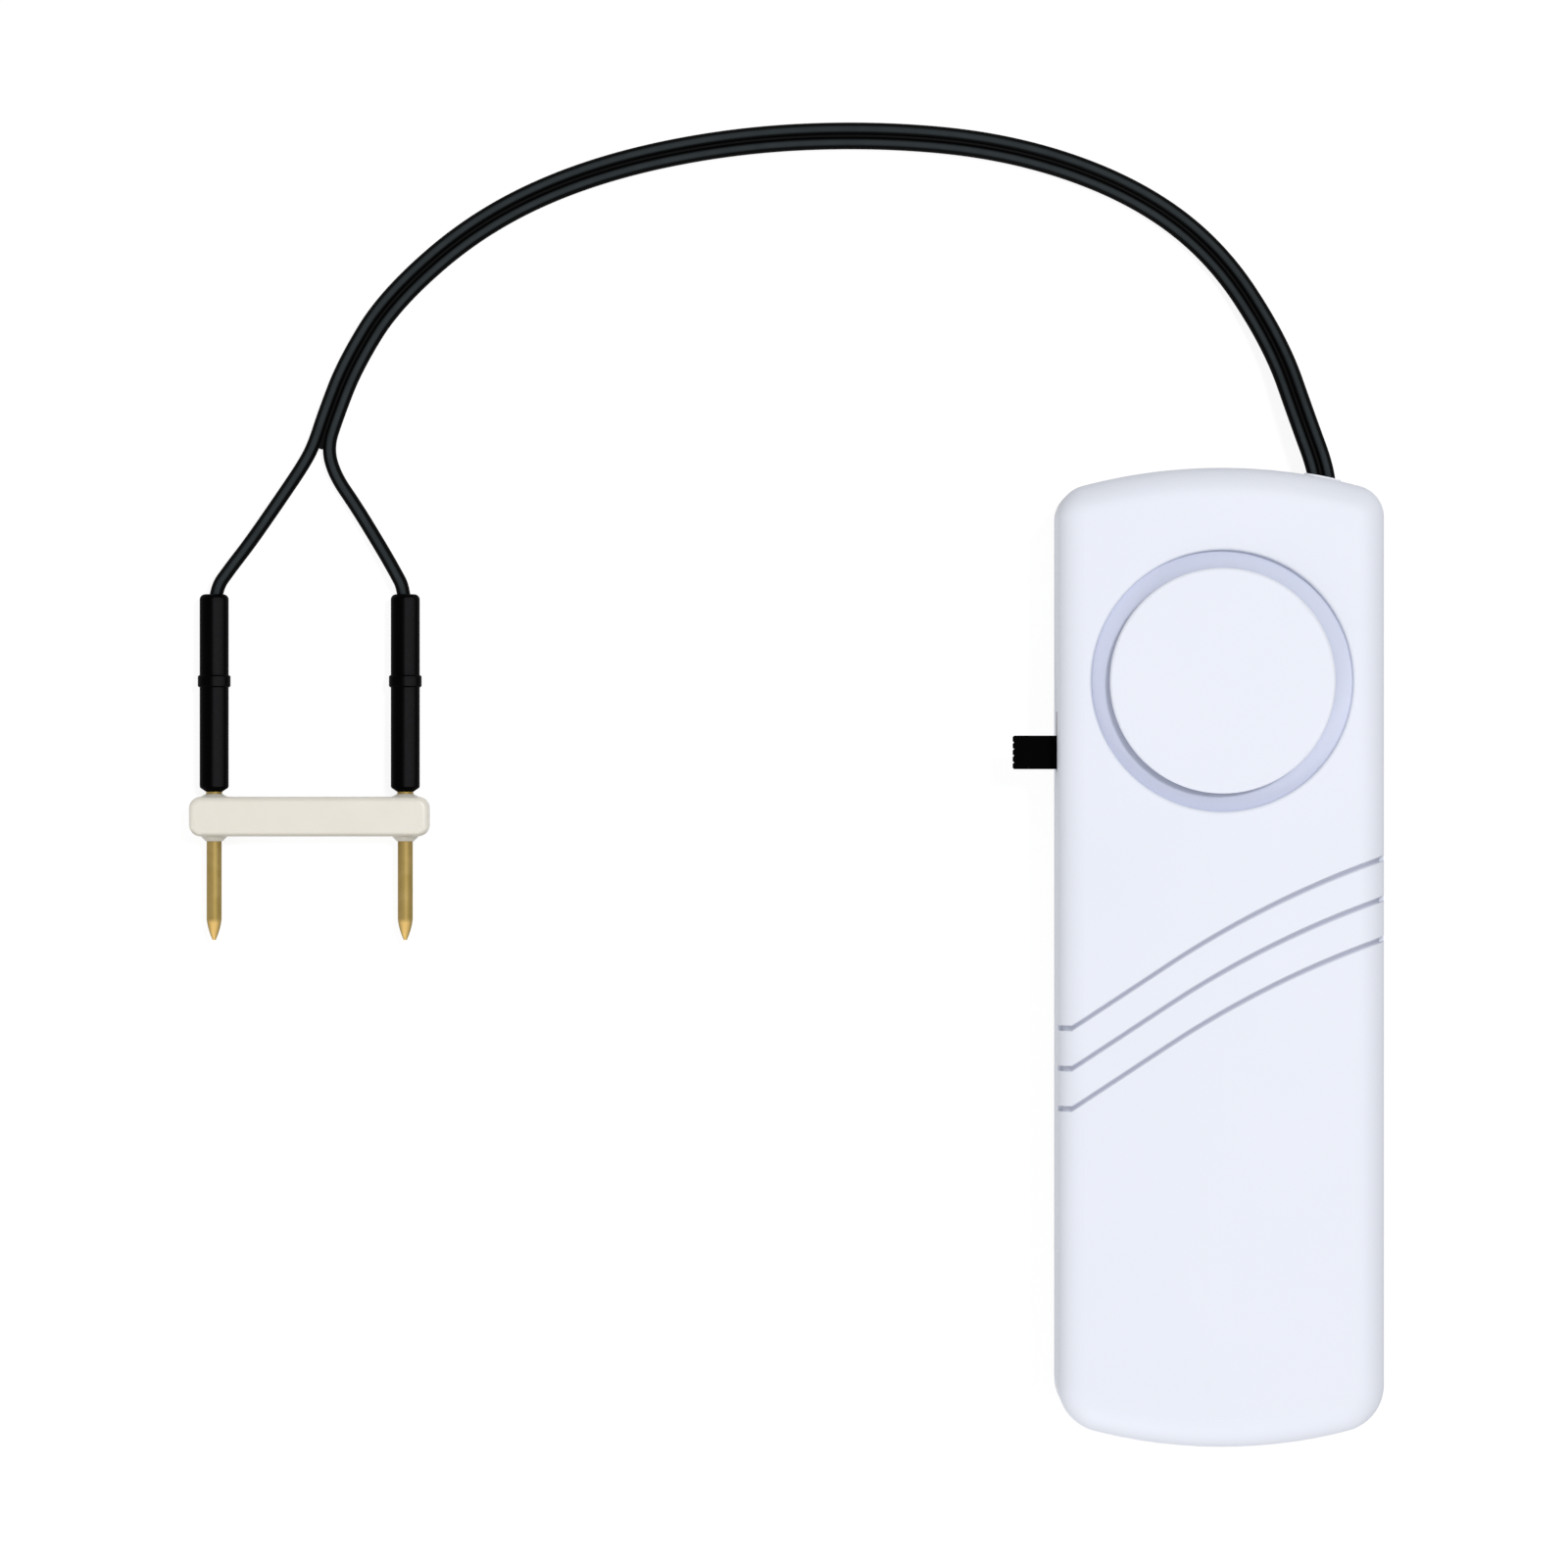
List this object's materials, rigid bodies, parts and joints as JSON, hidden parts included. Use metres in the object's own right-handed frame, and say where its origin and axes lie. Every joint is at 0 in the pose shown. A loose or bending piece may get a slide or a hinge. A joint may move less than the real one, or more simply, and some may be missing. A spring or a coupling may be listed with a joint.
{
  "type": "water level alarm",
  "caption": "Slim battery alarm with a sounder, a slide switch and a two-pin water probe on a thin twin cable.",
  "frame": {"origin": "centre of the housing's flat back face", "axes": "+X to the right seen from the front, +Y along the housing to its cable end, +Z out of the front"},
  "size_m": [0.1105, 0.1227, 0.0158],
  "materials": {
    "housing_abs": "moulded ABS, fine satin gloss",
    "grommet_pvc": "soft white PVC",
    "screw_steel": "zinc plated",
    "sounder_brass": "rolled sheet",
    "sounder_ceramic": "silvered ceramic",
    "board_laminate": "green solder mask",
    "chip_epoxy": "moulded epoxy",
    "coil_ferrite": "sintered ferrite",
    "coil_copper": "enamelled copper wire",
    "capacitor_can": "drawn can",
    "chip_part_ceramic": "fired ceramic",
    "switch_steel": "tinned sheet",
    "knob_black": "moulded black nylon",
    "contact_copper": "spring bronze",
    "phenolic_board": "phenolic paper board",
    "contact_nickel": "nickel plated spring steel",
    "cell_steel": "nickel plated can",
    "lead_red": "PVC insulation",
    "lead_black": "PVC insulation",
    "wire_pvc": "black PVC insulation",
    "wire_copper": "stranded copper",
    "sleeve_black": "matte heat-shrink",
    "probe_cream": "moulded cream plastic",
    "pin_brass": "turned brass"
  },
  "bodies": {
    "housing": {"front_cover": "housing_abs", "back_cover": "housing_abs", "sound_cap": "housing_abs", "cable_grommet": "grommet_pvc", "case_screws": "screw_steel", "piezo_plate": "sounder_brass", "piezo_ceramic": "sounder_ceramic", "circuit_board": "board_laminate", "driver_chip": "chip_epoxy", "transistor": "chip_epoxy", "boost_coil_core": "coil_ferrite", "boost_coil_winding": "coil_copper", "filter_capacitor": "capacitor_can", "chip_resistors": "chip_part_ceramic", "chip_capacitors": "chip_part_ceramic", "switch_frame": "switch_steel", "switch_terminals": "contact_copper", "switch_terminal_board": "phenolic_board", "positive_contact": "contact_nickel", "negative_contact": "contact_nickel", "button_cell_1": "cell_steel", "button_cell_2": "cell_steel", "button_cell_3": "cell_steel", "battery_lead_positive": "lead_red", "piezo_lead_ceramic": "lead_red", "battery_lead_negative": "lead_black", "piezo_lead_plate": "lead_black", "wire_tail_left": "wire_pvc", "wire_tail_right": "wire_pvc", "sensor_wire_left": "wire_pvc", "sensor_wire_right": "wire_pvc", "wire_strands_left": "wire_copper", "wire_strands_right": "wire_copper", "probe_sleeve_left": "sleeve_black", "probe_sleeve_right": "sleeve_black", "probe_bar": "probe_cream", "probe_pin_left": "pin_brass", "probe_pin_right": "pin_brass", "crimp_ferrule_left": "pin_brass", "crimp_ferrule_right": "pin_brass"},
    "slider": {"switch_knob": "knob_black", "switch_wiper": "contact_copper"},
    "door": {"battery_door": "housing_abs"}
  },
  "joints": [
    {"name": "switch_slide", "type": "slide", "parent": "housing", "child": "slider", "axis": [0, 1, 0], "range_m": [0, 0.002]},
    {"name": "battery_door_slide", "type": "slide", "parent": "housing", "child": "door", "axis": [0, -1, 0], "range_m": [0, 0.03]}
  ]
}
